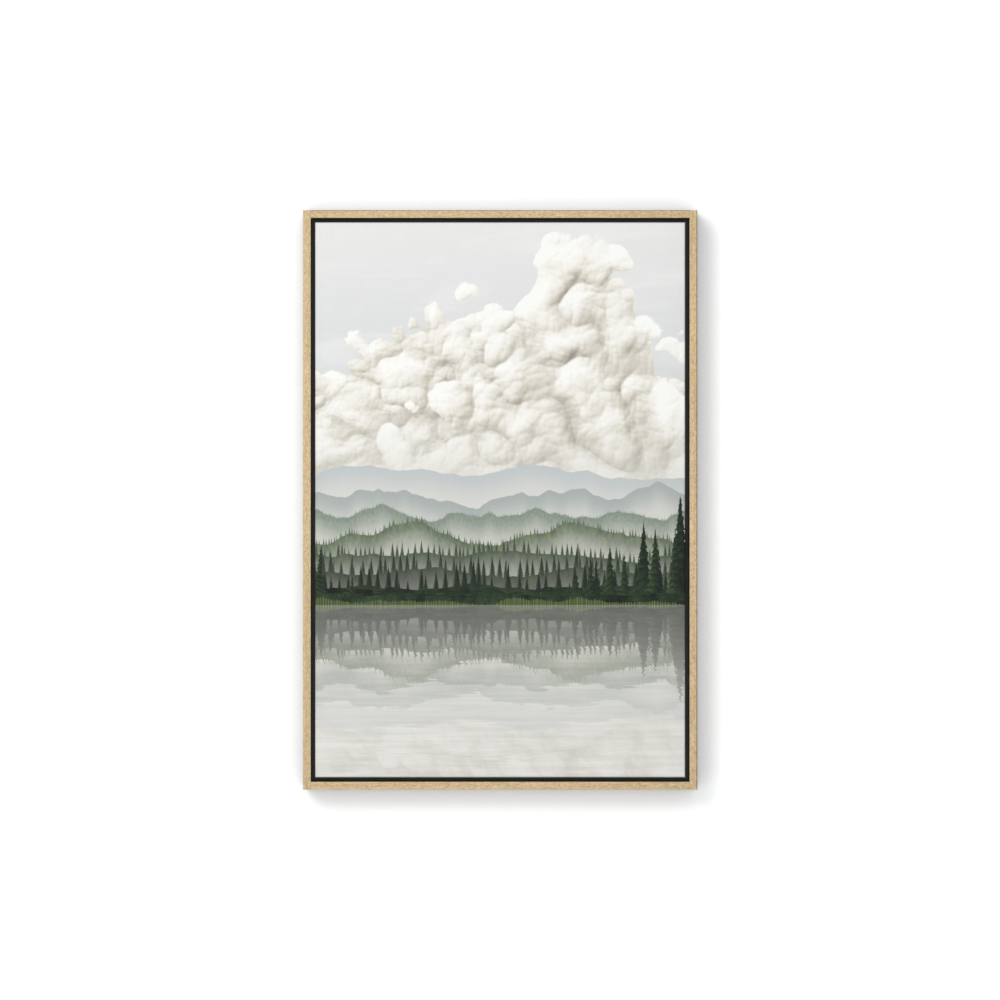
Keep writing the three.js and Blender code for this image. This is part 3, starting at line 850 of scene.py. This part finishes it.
class FramedCanvasAddBoards(bpy.types.Operator):
    """Add the four oak boards, with their inside faces painted, and the dowels that join them"""

    bl_idname = "framed_canvas.add_boards"
    bl_label = "Add oak boards"

    def execute(self, context):
        look = context.scene.framed_canvas_boards
        paint = shared("Matt black paint", matt_paint)
        dowels = nodes_named("dowel")
        for number, node in enumerate(dowels, 1):
            low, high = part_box(node)
            dowel = self.fluted_dowel(high.x - low.x, (high.z - low.z) / 2)
            move(dowel, middle(node))
            beech = sawn_beech(f"Beech dowel {number}", number)
            add_piece(f"beech_{node}", dowel, [beech], "beech", node)
        # how much darker the painted shade line is along the outer front edge of these two boards
        shaded_edges = {"stile_right": 0.72, "rail_top": 0.42}
        for number, node in enumerate(("stile_left", "stile_right", "rail_top", "rail_bottom"), 1):
            low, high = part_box(node)
            along = "Z" if node.startswith("stile") else "X"
            oak = planed_oak(f"Oiled oak {node.replace('_', ' ')}", along, number, shaded_edges.get(node, 0.0))
            shape = self.board(low, high, "XYZ".index(along), look)
            piece = add_piece(f"oak_{node}", shape, [oak, paint], "oak", node)
            holes = []
            for start, end in (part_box(dowel) for dowel in dowels):
                at = (start + end) / 2
                # a dowel reaches into the boards that end this near to its middle
                if low.x - 20 * MM < at.x < high.x + 20 * MM and low.z - MM < at.z < high.z + MM:
                    ends = [(x, at.y, at.z) for x in (start.x - CLEARANCE, end.x + CLEARANCE)]
                    holes.append(rod((end.z - start.z) / 2 + CLEARANCE, *ends))
            carve(piece, holes)
        return {"FINISHED"}

    def board(self, low, high, axis, look):
        """A board with a rounded arris along its front edges. Its face towards the canvas wears the paint."""
        shape = bmesh.new()
        block(shape, high - low)
        move(shape, (high + low) / 2)
        full_length, half_way = high[axis] - low[axis] - MM, (low.y + high.y) / 2
        front = [e for e in shape.edges if run(e, axis) > full_length and e.verts[0].co.y < half_way]
        round_edges(shape, front, look.arris, 4)
        back = [e for e in shape.edges if all(v.co.y > high.y - NEAR for v in e.verts) and run(e, axis) > MM]
        round_edges(shape, back, look.edge)
        ends = [e for e in sharp_edges(shape, 60) if run(e, axis) < NEAR]
        round_edges(shape, ends, look.edge)
        across = 2 - axis
        inward = -1 if (low + high)[across] / 2 > CANVAS_MIDDLE[across] else 1
        for face in shape.faces:
            if face.normal[across] * inward > 0.9:
                face.material_index = 1
        return shape

    def fluted_dowel(self, length, radius):
        """A dowel along X with shallow flutes and chamfered ends."""
        shape = bmesh.new()
        # every other corner is the bottom of a flute
        corners, chamfer = 28, 1.2 * MM
        bmesh.ops.create_circle(shape, cap_ends=True, segments=corners, radius=radius)
        for v in shape.verts:
            if round(math.atan2(v.co.y, v.co.x) / math.tau * corners) % 2:
                v.co *= 0.93
        [face] = shape.faces
        stretch(shape, (0.8, 0.8, 1), face.verts)
        sections = [(0, 0.8), (chamfer, 1), (length - chamfer, 1), (length, 0.8)]
        for (z0, r0), (z1, r1) in zip(sections, sections[1:]):
            made = bmesh.ops.extrude_face_region(shape, geom=[face])["geom"]
            if z0 > 0:
                bmesh.ops.delete(shape, geom=[face], context="FACES_ONLY")
            [face] = only("Face", made)
            move(shape, (0, 0, z1 - z0), face.verts)
            stretch(shape, (r1 / r0, r1 / r0, 1), face.verts)
        move(shape, (0, 0, -length / 2))
        turn(shape, 90, "Y")
        face_outward(shape)
        return shape


class FramedCanvasAddLedges(bpy.types.Operator):
    """Add the four painted ledges that carry the canvas"""

    bl_idname = "framed_canvas.add_ledges"
    bl_label = "Add ledges"

    def execute(self, context):
        paint = shared("Matt black paint", matt_paint)
        for node in nodes_named("ledge"):
            shape = merged_copy(node)
            # the short edges are the rims of the screw holes, which stay crisp
            round_edges(shape, [e for e in sharp_edges(shape, 30) if e.calc_length() > 3 * MM], 0.3 * MM)
            add_piece(f"painted_{node}", shape, [paint], "black_paint", node)
        return {"FINISHED"}


class FramedCanvasAddCanvas(bpy.types.Operator):
    """Add the printed cloth, wrapped round the stretcher and turned over behind it"""

    bl_idname = "framed_canvas.add_canvas"
    bl_label = "Add printed canvas"

    def execute(self, context):
        shape = self.wrapped_cloth(context.scene.framed_canvas_print.edge_round)
        materials = [printed_canvas(), raw_cotton()]
        cloth = add_piece("printed_canvas", shape, materials, "printed_canvas", "canvas", sharp=50)
        thickness = cloth.modifiers.new("cloth thickness", "SOLIDIFY")
        thickness.thickness = CLOTH_THICK
        thickness.offset = -1
        thickness.use_even_offset = True
        thickness.material_offset = thickness.material_offset_rim = 1
        return {"FINISHED"}

    def wrapped_cloth(self, edge_round):
        """The outer face of the cloth: its front, its sides and the border turned over behind."""
        front, back, half = CANVAS_LOW.y, CANVAS_HIGH.y, CANVAS_HALF
        inner = (half.x - TURN_OVER, half.z - TURN_OVER)
        shape = square(1, facing="Y")
        stretch(shape, (half.x, 1, half.z))
        move(shape, (0, front, 0))
        # lines where the turned-over border's corners will fold, and evenly between them
        for axis, reach, count in ((0, inner[0], 14), (2, inner[1], 22)):
            for step in range(count + 1):
                place, normal = [0, 0, 0], [0, 0, 0]
                place[axis] = -reach + 2 * reach * step / count
                normal[axis] = 1
                geometry = shape.verts[:] + shape.edges[:] + shape.faces[:]
                bmesh.ops.bisect_plane(shape, geom=geometry, plane_co=place, plane_no=normal)
        edges, _ = extrude(shape, [e for e in shape.edges if e.is_boundary], (0, CANVAS_DEPTH, 0))
        _, lips = extrude(shape, [e for e in edges if e.is_boundary])
        jitter = random.Random(11)
        for v in lips:
            # the cut edge is never quite straight
            stray = 1 + jitter.uniform(-0.0016, 0.0016)
            v.co.x = max(-inner[0], min(inner[0], v.co.x)) * (stray if abs(v.co.z) < inner[1] - MM else 1)
            v.co.z = max(-inner[1], min(inner[1], v.co.z)) * (stray if abs(v.co.x) < inner[0] - 2 * MM else 1)
        bmesh.ops.remove_doubles(shape, verts=shape.verts, dist=NEAR)
        bmesh.ops.dissolve_degenerate(shape, dist=MERGE, edges=shape.edges)
        face_outward(shape)
        if sum(f.normal.y * f.calc_area() for f in shape.faces if f.calc_center_median().y < front + MM) > 0:
            bmesh.ops.reverse_faces(shape, faces=shape.faces)
        # at each corner of the back the side's border laps over the end's, by 5 mm at its inner edge, and stands
        # proud by about the cloth's thickness
        mitres = [
            e
            for e in shape.edges
            if all(v.co.y > back - NEAR for v in e.verts) and all(abs(run(e, axis) - TURN_OVER) < MM for axis in (0, 2))
        ]
        bmesh.ops.split_edges(shape, edges=mitres)
        for v in shape.verts:
            if v.is_boundary and abs(abs(v.co.x) - inner[0]) < MM and abs(abs(v.co.z) - inner[1]) < MM:
                if any(abs(f.calc_center_median().z) < abs(v.co.z) for f in v.link_faces):
                    v.co += Vector((0, 0.45 * MM, math.copysign(5 * MM, v.co.z)))
        folds = [e for e in shape.edges if e.is_manifold and e.calc_face_angle(0) > 1 and run(e, 1) < MM]
        round_edges(shape, folds, edge_round, 4)
        move(shape, (CANVAS_MIDDLE.x, 0, CANVAS_MIDDLE.z))
        self.lay_out(shape)
        return shape

    def lay_out(self, shape):
        """Gives each corner of each face its place on the flat cloth, in metres from the cloth's middle."""
        cloth = shape.loops.layers.uv.new("Cloth")
        half = (CANVAS_HALF.x, CANVAS_HALF.z)
        for face in shape.faces:
            at = face.calc_center_median() - CANVAS_MIDDLE
            gap_x, gap_z = half[0] - abs(at.x), half[1] - abs(at.z)
            behind = at.y > CANVAS_DEPTH / 2 - MM
            on_side = not behind and min(gap_x, gap_z) < 1.3 * MM
            axis = 0 if gap_x < gap_z else 1
            for loop in face.loops:
                p = loop.vert.co - CANVAS_MIDDLE
                flat = [p.x, p.z]
                if behind:
                    size = 2 * half[axis] + CANVAS_DEPTH - abs(flat[axis]) - (CANVAS_DEPTH / 2 - p.y)
                elif on_side:
                    size = abs(flat[axis]) + p.y + CANVAS_DEPTH / 2
                if behind or on_side:
                    flat[axis] = math.copysign(size, (at.x, at.z)[axis])
                loop[cloth].uv = flat


class FramedCanvasAddStretcher(bpy.types.Operator):
    """Add the pine stretcher bars, the brace across them and the beech keys in the corners"""

    bl_idname = "framed_canvas.add_stretcher"
    bl_label = "Add stretcher"

    def execute(self, context):
        lip_round = context.scene.framed_canvas_print.edge_round - CLOTH_THICK
        bars = ("stretcher_left", "stretcher_right", "stretcher_top", "stretcher_bottom", "cross_brace")
        for number, (node, along) in enumerate(zip(bars, "ZZXXX"), 1):
            shape = merged_copy(node)
            round_edges(shape, [e for e in shape.edges if all(self.on_lip(v.co) for v in e.verts)], lip_round, 4)
            round_edges(shape, sharp_edges(shape, 40), 0.5 * MM)
            pine = planed_pine(f"Planed pine {node.replace('_', ' ')}", along, number)
            add_piece(f"pine_{node}", shape, [pine], "pine", node)
        for number, node in enumerate(nodes_named("key"), 1):
            shape = merged_copy(node)
            round_edges(shape, sharp_edges(shape, 20), 0.4 * MM)
            beech = sawn_beech(f"Beech key {number}", number + 10)
            add_piece(f"beech_{node}", shape, [beech], "beech", node)
        return {"FINISHED"}

    def on_lip(self, place):
        """Whether a place is on the outer front edge, which the cloth bends round."""
        from_side = min(CANVAS_HALF[axis] - abs(place[axis] - CANVAS_MIDDLE[axis]) for axis in (0, 2))
        return place.y < CANVAS_LOW.y + MM and from_side < MM


class FramedCanvasAddScrews(bpy.types.Operator):
    """Add the countersunk screws that hold the canvas to the ledges"""

    bl_idname = "framed_canvas.add_screws"
    bl_label = "Add canvas screws"

    def execute(self, context):
        for node in nodes_named("canvas_screw"):
            low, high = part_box(node)
            head, top = (high.x - low.x) / 2, high.y
            end, neck = top - 9 * MM, top - 2.5 * MM
            profile = threaded(low.y, end, neck, shank=1.75, root=1.25, pitch=1.8, tip=2.4, run_out=0.5)
            profile += [(head - 0.15 * MM, top - 0.3 * MM), (head, top - 0.18 * MM), (head - 0.2 * MM, top), (0, top)]
            # each screw stops at a turn of its own
            degrees = 37 * (int(node[-1]) + len(node))
            add_screw(node, profile, reach=2.3 * MM, depth=2.0 * MM, degrees=degrees)
        return {"FINISHED"}


class FramedCanvasAddHangers(bpy.types.Operator):
    """Add the two straps with their D-rings and pan-head screws"""

    bl_idname = "framed_canvas.add_hangers"
    bl_label = "Add hangers"

    def execute(self, context):
        zinc = shared("Bright zinc on steel", bright_zinc)
        for side in ("left", "right"):
            joint = next(j for j in frame["joints"] if j["name"] == f"ring_{side}_swing")
            axis = Vector(joint["pos_m"])
            shape = self.strap(*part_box(f"hanger_strap_{side}"), axis)
            strap = add_piece(f"zinc_strap_{side}", shape, [zinc], "zinc_steel", f"hanger_strap_{side}")
            screws = nodes_named(f"hanger_screw_{side}")
            places = [middle(node) for node in screws]
            carve(strap, [rod(1.75 * MM, (at.x, -MM, at.z), (at.x, 2 * MM, at.z), 32) for at in places])
            ring = self.d_ring()
            move(ring, axis)
            add_piece(
                f"zinc_ring_{side}", ring, [zinc], "zinc_steel", f"hanger_ring_{side}", body=f"ring_{side}", sharp=60
            )
            for number, node in enumerate(screws):
                low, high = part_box(node)
                profile = self.pan_head(low.y, high.y)
                add_screw(node, profile, reach=1.5 * MM, depth=1.0 * MM, degrees=25 + 50 * number)
        return {"FINISHED"}

    def strap(self, low, high, axis):
        """A steel strap, bent round the ring's straight side, with rounded lower corners."""
        # the strap's thickness, and how many degrees it is bent round the wire, in so many steps
        thick, bent, steps = 1.0 * MM, 290, 22
        shape = bmesh.new()
        outline = [(0, low.z), (thick, low.z), (thick, axis.z)]
        bend = [math.radians(180 - bent * step / steps) for step in range(steps + 1)]
        for radius, angles in ((axis.y - thick, bend[1:]), (axis.y, reversed(bend))):
            outline += [(axis.y + radius * math.cos(a), axis.z + radius * math.sin(a)) for a in angles]
        face = shape.faces.new([shape.verts.new((low.x, y, z)) for y, z in outline])
        made = bmesh.ops.extrude_face_region(shape, geom=[face])["geom"]
        move(shape, (high.x - low.x, 0, 0), only("Vert", made))
        face_outward(shape)
        corners = [e for e in shape.edges if all(v.co.z < low.z + NEAR for v in e.verts) and run(e, 0) < NEAR]
        round_edges(shape, corners, 4.5 * MM, 6)
        round_edges(shape, sharp_edges(shape, 50), 0.15 * MM)
        return shape

    def d_ring(self):
        """The ring about its hinge: round wire bent to a D, whose ends meet inside the strap."""
        wire, half, straight, corner, gap = (n * MM for n in (1.1, 9.5, 6, 2.5, 0.2))
        shape = bmesh.new()
        bmesh.ops.create_circle(shape, segments=16, radius=wire)
        turn(shape, 90, "Y")
        move(shape, (gap, 0, 0))

        end = shape.edges[:]
        # each run of straight wire, and the centre, the degrees and the steps of the bend after it
        for by, centre, degrees, steps in (
            ((half - corner - gap, 0, 0), (half - corner, 0, -corner), 90, 8),
            ((0, 0, corner - straight), (0, 0, -straight), 180, 28),
            ((0, 0, straight - corner), (corner - half, 0, -corner), 90, 8),
        ):
            end, _ = extrude(shape, end, by)
            angle = math.radians(degrees)
            made = bmesh.ops.spin(shape, geom=end, cent=centre, axis=(0, 1, 0), angle=angle, steps=steps)
            end = only("Edge", made["geom_last"])
        extrude(shape, end, (half - corner - gap, 0, 0))
        bmesh.ops.remove_doubles(shape, verts=shape.verts, dist=MERGE)
        bmesh.ops.holes_fill(shape, edges=[e for e in shape.edges if e.is_boundary], sides=0)
        face_outward(shape)
        return shape

    def pan_head(self, point, top):
        """The profile of a pan-head screw whose head sits on the strap."""
        seat, head, side = 1.0 * MM, 3.0 * MM, 0.7 * MM
        profile = threaded(point, seat - 2.2 * MM, seat, shank=1.5, root=1.1, pitch=1.3, tip=2.0, run_out=0.4)
        profile += [(head - 0.1 * MM, seat), (head, seat + 0.1 * MM), (head, seat + side)]
        return profile + dome(head, 0.55, seat + side, top, 6)


class FramedCanvasAddBumpers(bpy.types.Operator):
    """Add the two soft pads that keep the lower corners off the wall"""

    bl_idname = "framed_canvas.add_bumpers"
    bl_label = "Add bumpers"

    def execute(self, context):
        rubber = soft_rubber()
        for node in nodes_named("bumper"):
            low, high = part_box(node)
            radius, side = (high.x - low.x) / 2, 1.2 * MM
            profile = [(0, 0), (radius - 0.2 * MM, 0), (radius, 0.2 * MM), (radius, side)]
            shape = turned_shape(profile + dome(radius, 0.5, side, high.y - low.y, 9), 40)
            at = middle(node)
            move(shape, (at.x, low.y, at.z))
            add_piece(f"rubber_{node}", shape, [rubber], "bumper_rubber", node)
        return {"FINISHED"}


class FramedCanvasAddStaples(bpy.types.Operator):
    """Add the staples that hold the turned-over cloth to the stretcher"""

    bl_idname = "framed_canvas.add_staples"
    bl_label = "Add staples"

    def execute(self, context):
        look = context.scene.framed_canvas_back
        half_x, half_z = CANVAS_HALF.x, CANVAS_HALF.z
        shape = bmesh.new()
        jitter = random.Random(5)
        inset, from_corner = TURN_OVER - 6 * MM, 70 * MM
        for sign in (-1, 1):
            for upright, along, across in ((True, half_z, half_x), (False, half_x, half_z)):
                reach = along - from_corner
                count = round(2 * reach / look.staple_step)
                for step in range(count + 1):
                    place = -reach + 2 * reach * step / count + jitter.uniform(-2, 2) * MM
                    degrees = (90 if upright else 0) + jitter.uniform(-7, 7)
                    line = sign * (across - inset + jitter.uniform(-0.8, 0.8) * MM)
                    at = (line, 0, place) if upright else (place, 0, line)
                    self.staple(shape, look.staple_width, at, degrees)
        move(shape, (CANVAS_MIDDLE.x, CANVAS_HIGH.y, CANVAS_MIDDLE.z))
        add_piece("zinc_staples", shape, [shared("Bright zinc on steel", bright_zinc)], "zinc_steel")
        return {"FINISHED"}

    def staple(self, shape, width, at, degrees):
        """A flat wire staple whose crown lies on the cloth and whose legs go into the bar."""
        wire, thick, leg = 1.2 * MM, 0.5 * MM, 6 * MM
        verts = block(shape, (width, thick, wire))
        move(shape, (0, thick / 2, 0), verts)
        for end in (-1, 1):
            leg_verts = block(shape, (thick, leg, 0.98 * wire))
            move(shape, (end * (width - thick) / 2, 0.1 * MM - leg / 2, 0), leg_verts)
            verts += leg_verts
        turn(shape, degrees, "Y", verts)
        move(shape, at, verts)


# the place of each light from the middle of the frame's front, its width in metres and its power in watts
LIGHTS = {
    "key light": ((-1.9, -3.0, 1.95), 2.3, 54),
    "front light": ((0, -6.0, 0), 1.6, 56),
    "back light": ((-1.4, 3.0, 1.6), 1.2, 40),
}
SKYLIGHT = 0.595
# metres from the middle of the wall and the floor to their sides, and from the frame down to the floor
WALL_REACH, FLOOR_REACH, FLOOR_DROP = 12, 40, 1.1
WALL_GAP = 0.1 * MM
SHADE_REACH = 45 * MM


class FramedCanvasAddStudio(bpy.types.Operator):
    """Add the wall, the floor, the light and the camera"""

    bl_idname = "framed_canvas.add_studio"
    bl_label = "Add studio"

    def execute(self, context):
        scene = context.scene
        look = scene.framed_canvas_studio
        low, high = CAD_BOX
        target = Vector((0, low.y, (low.z + high.z) / 2))
        self.add_wall(look)
        self.add_floor(look)
        scene.world = bpy.data.worlds.new("studio")
        scene.world.use_nodes = True
        background = scene.world.node_tree.nodes["Background"]
        background.inputs["Color"].default_value = (1, 1, 1, 1)
        background.inputs["Strength"].default_value = SKYLIGHT
        for name, (offset, size, power) in LIGHTS.items():
            self.add_light(name, target + Vector(offset), target, size, power)
        camera = bpy.data.cameras.new("camera")
        camera.sensor_width = 36
        camera.lens = camera.sensor_width * look.distance / look.picture
        camera.clip_end = 100
        # 0.2 mm off the frame's middle, as in the photograph
        place = target + Vector((-0.2 * MM, -look.distance, -0.2 * MM))
        scene.camera = self.add_to_scene("camera", camera, place, (math.radians(90), 0, 0))
        scene.view_settings.view_transform = "Standard"
        return {"FINISHED"}

    def add_to_scene(self, name, data, place, turns):
        made = bpy.data.objects.new(name, data)
        bpy.context.scene.collection.objects.link(made)
        made.location, made.rotation_euler = place, turns
        return made

    def add_light(self, name, place, target, size, power):
        light = bpy.data.lights.new(name, "AREA")
        light.shape, light.size, light.energy = "DISK", size, power
        aim = (target - place).to_track_quat("-Z", "Y").to_euler()
        self.add_to_scene(name, light, place, aim).visible_camera = False

    def add_wall(self, look):
        """A white wall just behind the frame. It shows from its front only, so that the back can be looked at."""
        material, add = new_material("White wall")
        tree = material.node_tree
        tree.nodes.remove(tree.nodes["Principled BSDF"])
        contact = add("AmbientOcclusion", Distance=SHADE_REACH, samples=8)
        # the shade is a little blue, which makes up for the warm light that the oak throws on the wall
        shade = [(1 - look.contact_shade) * c for c in (0.85, 0.99, 1.22)]
        shade = add("Mix RGBA", contact.outputs["AO"], (*shade, 1), (1, 1, 1, 1))
        exposed = [look.wall_exposure * c for c in look.wall[:3]]
        matt = add("BsdfDiffuse", add("VectorMath MULTIPLY", exposed, shade))
        side = add("NewGeometry")
        mixed = add("MixShader", side.outputs["Backfacing"], matt, add("BsdfTransparent"))
        tree.links.new(mixed.outputs[0], tree.nodes["Material Output"].inputs["Surface"])
        shape = square(WALL_REACH, facing="Y")
        move(shape, (0, CAD_BOX[1].y + WALL_GAP, 0))
        wall = add_object("wall", shape, material)
        wall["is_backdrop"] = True
        wall.visible_diffuse = wall.visible_glossy = wall.visible_shadow = False

    def add_floor(self, look):
        material, _ = new_material("Pale floor")
        shader = material.node_tree.nodes["Principled BSDF"]
        shader.inputs["Base Color"].default_value = look.floor
        shader.inputs["Roughness"].default_value = 0.9
        shape = square(FLOOR_REACH)
        move(shape, (0, 0, CAD_BOX[0].z - FLOOR_DROP))
        add_object("floor", shape, material)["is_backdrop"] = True


class FramedCanvasPanel(bpy.types.Panel):
    bl_idname = "VIEW3D_PT_framed_canvas"
    bl_label = "Framed Canvas"
    bl_space_type = "VIEW_3D"
    bl_region_type = "UI"
    bl_category = "Framed Canvas"

    def draw(self, context):
        for operators, settings in STEPS:
            box = self.layout.box()
            for operator in operators:
                box.operator(operator.bl_idname)
            if settings:
                group = getattr(context.scene, settings)
                for name in group.bl_rna.properties.keys():
                    if name not in ("rna_type", "name"):
                        box.prop(group, name)


SETTINGS = {
    "framed_canvas_boards": FramedCanvasBoards,
    "framed_canvas_print": FramedCanvasPrint,
    "framed_canvas_back": FramedCanvasBack,
    "framed_canvas_studio": FramedCanvasStudio,
}
STEPS = [
    ([FramedCanvasAddBoards, FramedCanvasAddLedges], "framed_canvas_boards"),
    ([FramedCanvasAddStretcher, FramedCanvasAddStaples, FramedCanvasAddScrews], "framed_canvas_back"),
    ([FramedCanvasAddHangers, FramedCanvasAddBumpers], None),
    ([FramedCanvasAddCanvas], "framed_canvas_print"),
    ([FramedCanvasAddStudio], "framed_canvas_studio"),
]


def register():
    for name, group in SETTINGS.items():
        bpy.utils.register_class(group)
        setattr(bpy.types.Scene, name, PointerProperty(type=group))
    for operators, _ in STEPS:
        for operator in operators:
            bpy.utils.register_class(operator)
    bpy.utils.register_class(FramedCanvasPanel)


def unregister():
    bpy.utils.unregister_class(FramedCanvasPanel)
    for operators, _ in reversed(STEPS):
        for operator in reversed(operators):
            bpy.utils.unregister_class(operator)
    for name, group in SETTINGS.items():
        delattr(bpy.types.Scene, name)
        bpy.utils.unregister_class(group)


def main():
    register()
    bpy.ops.framed_canvas.add_boards()
    bpy.ops.framed_canvas.add_ledges()
    bpy.ops.framed_canvas.add_stretcher()
    bpy.ops.framed_canvas.add_staples()
    bpy.ops.framed_canvas.add_screws()
    bpy.ops.framed_canvas.add_hangers()
    bpy.ops.framed_canvas.add_bumpers()
    bpy.ops.framed_canvas.add_canvas()
    bpy.ops.framed_canvas.add_studio()
    boxes = {"cad": CAD_BOX, "visual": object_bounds()}
    {name: [list(corner) for corner in box] for name, box in boxes.items()}


if __name__ == "__main__":
    main()
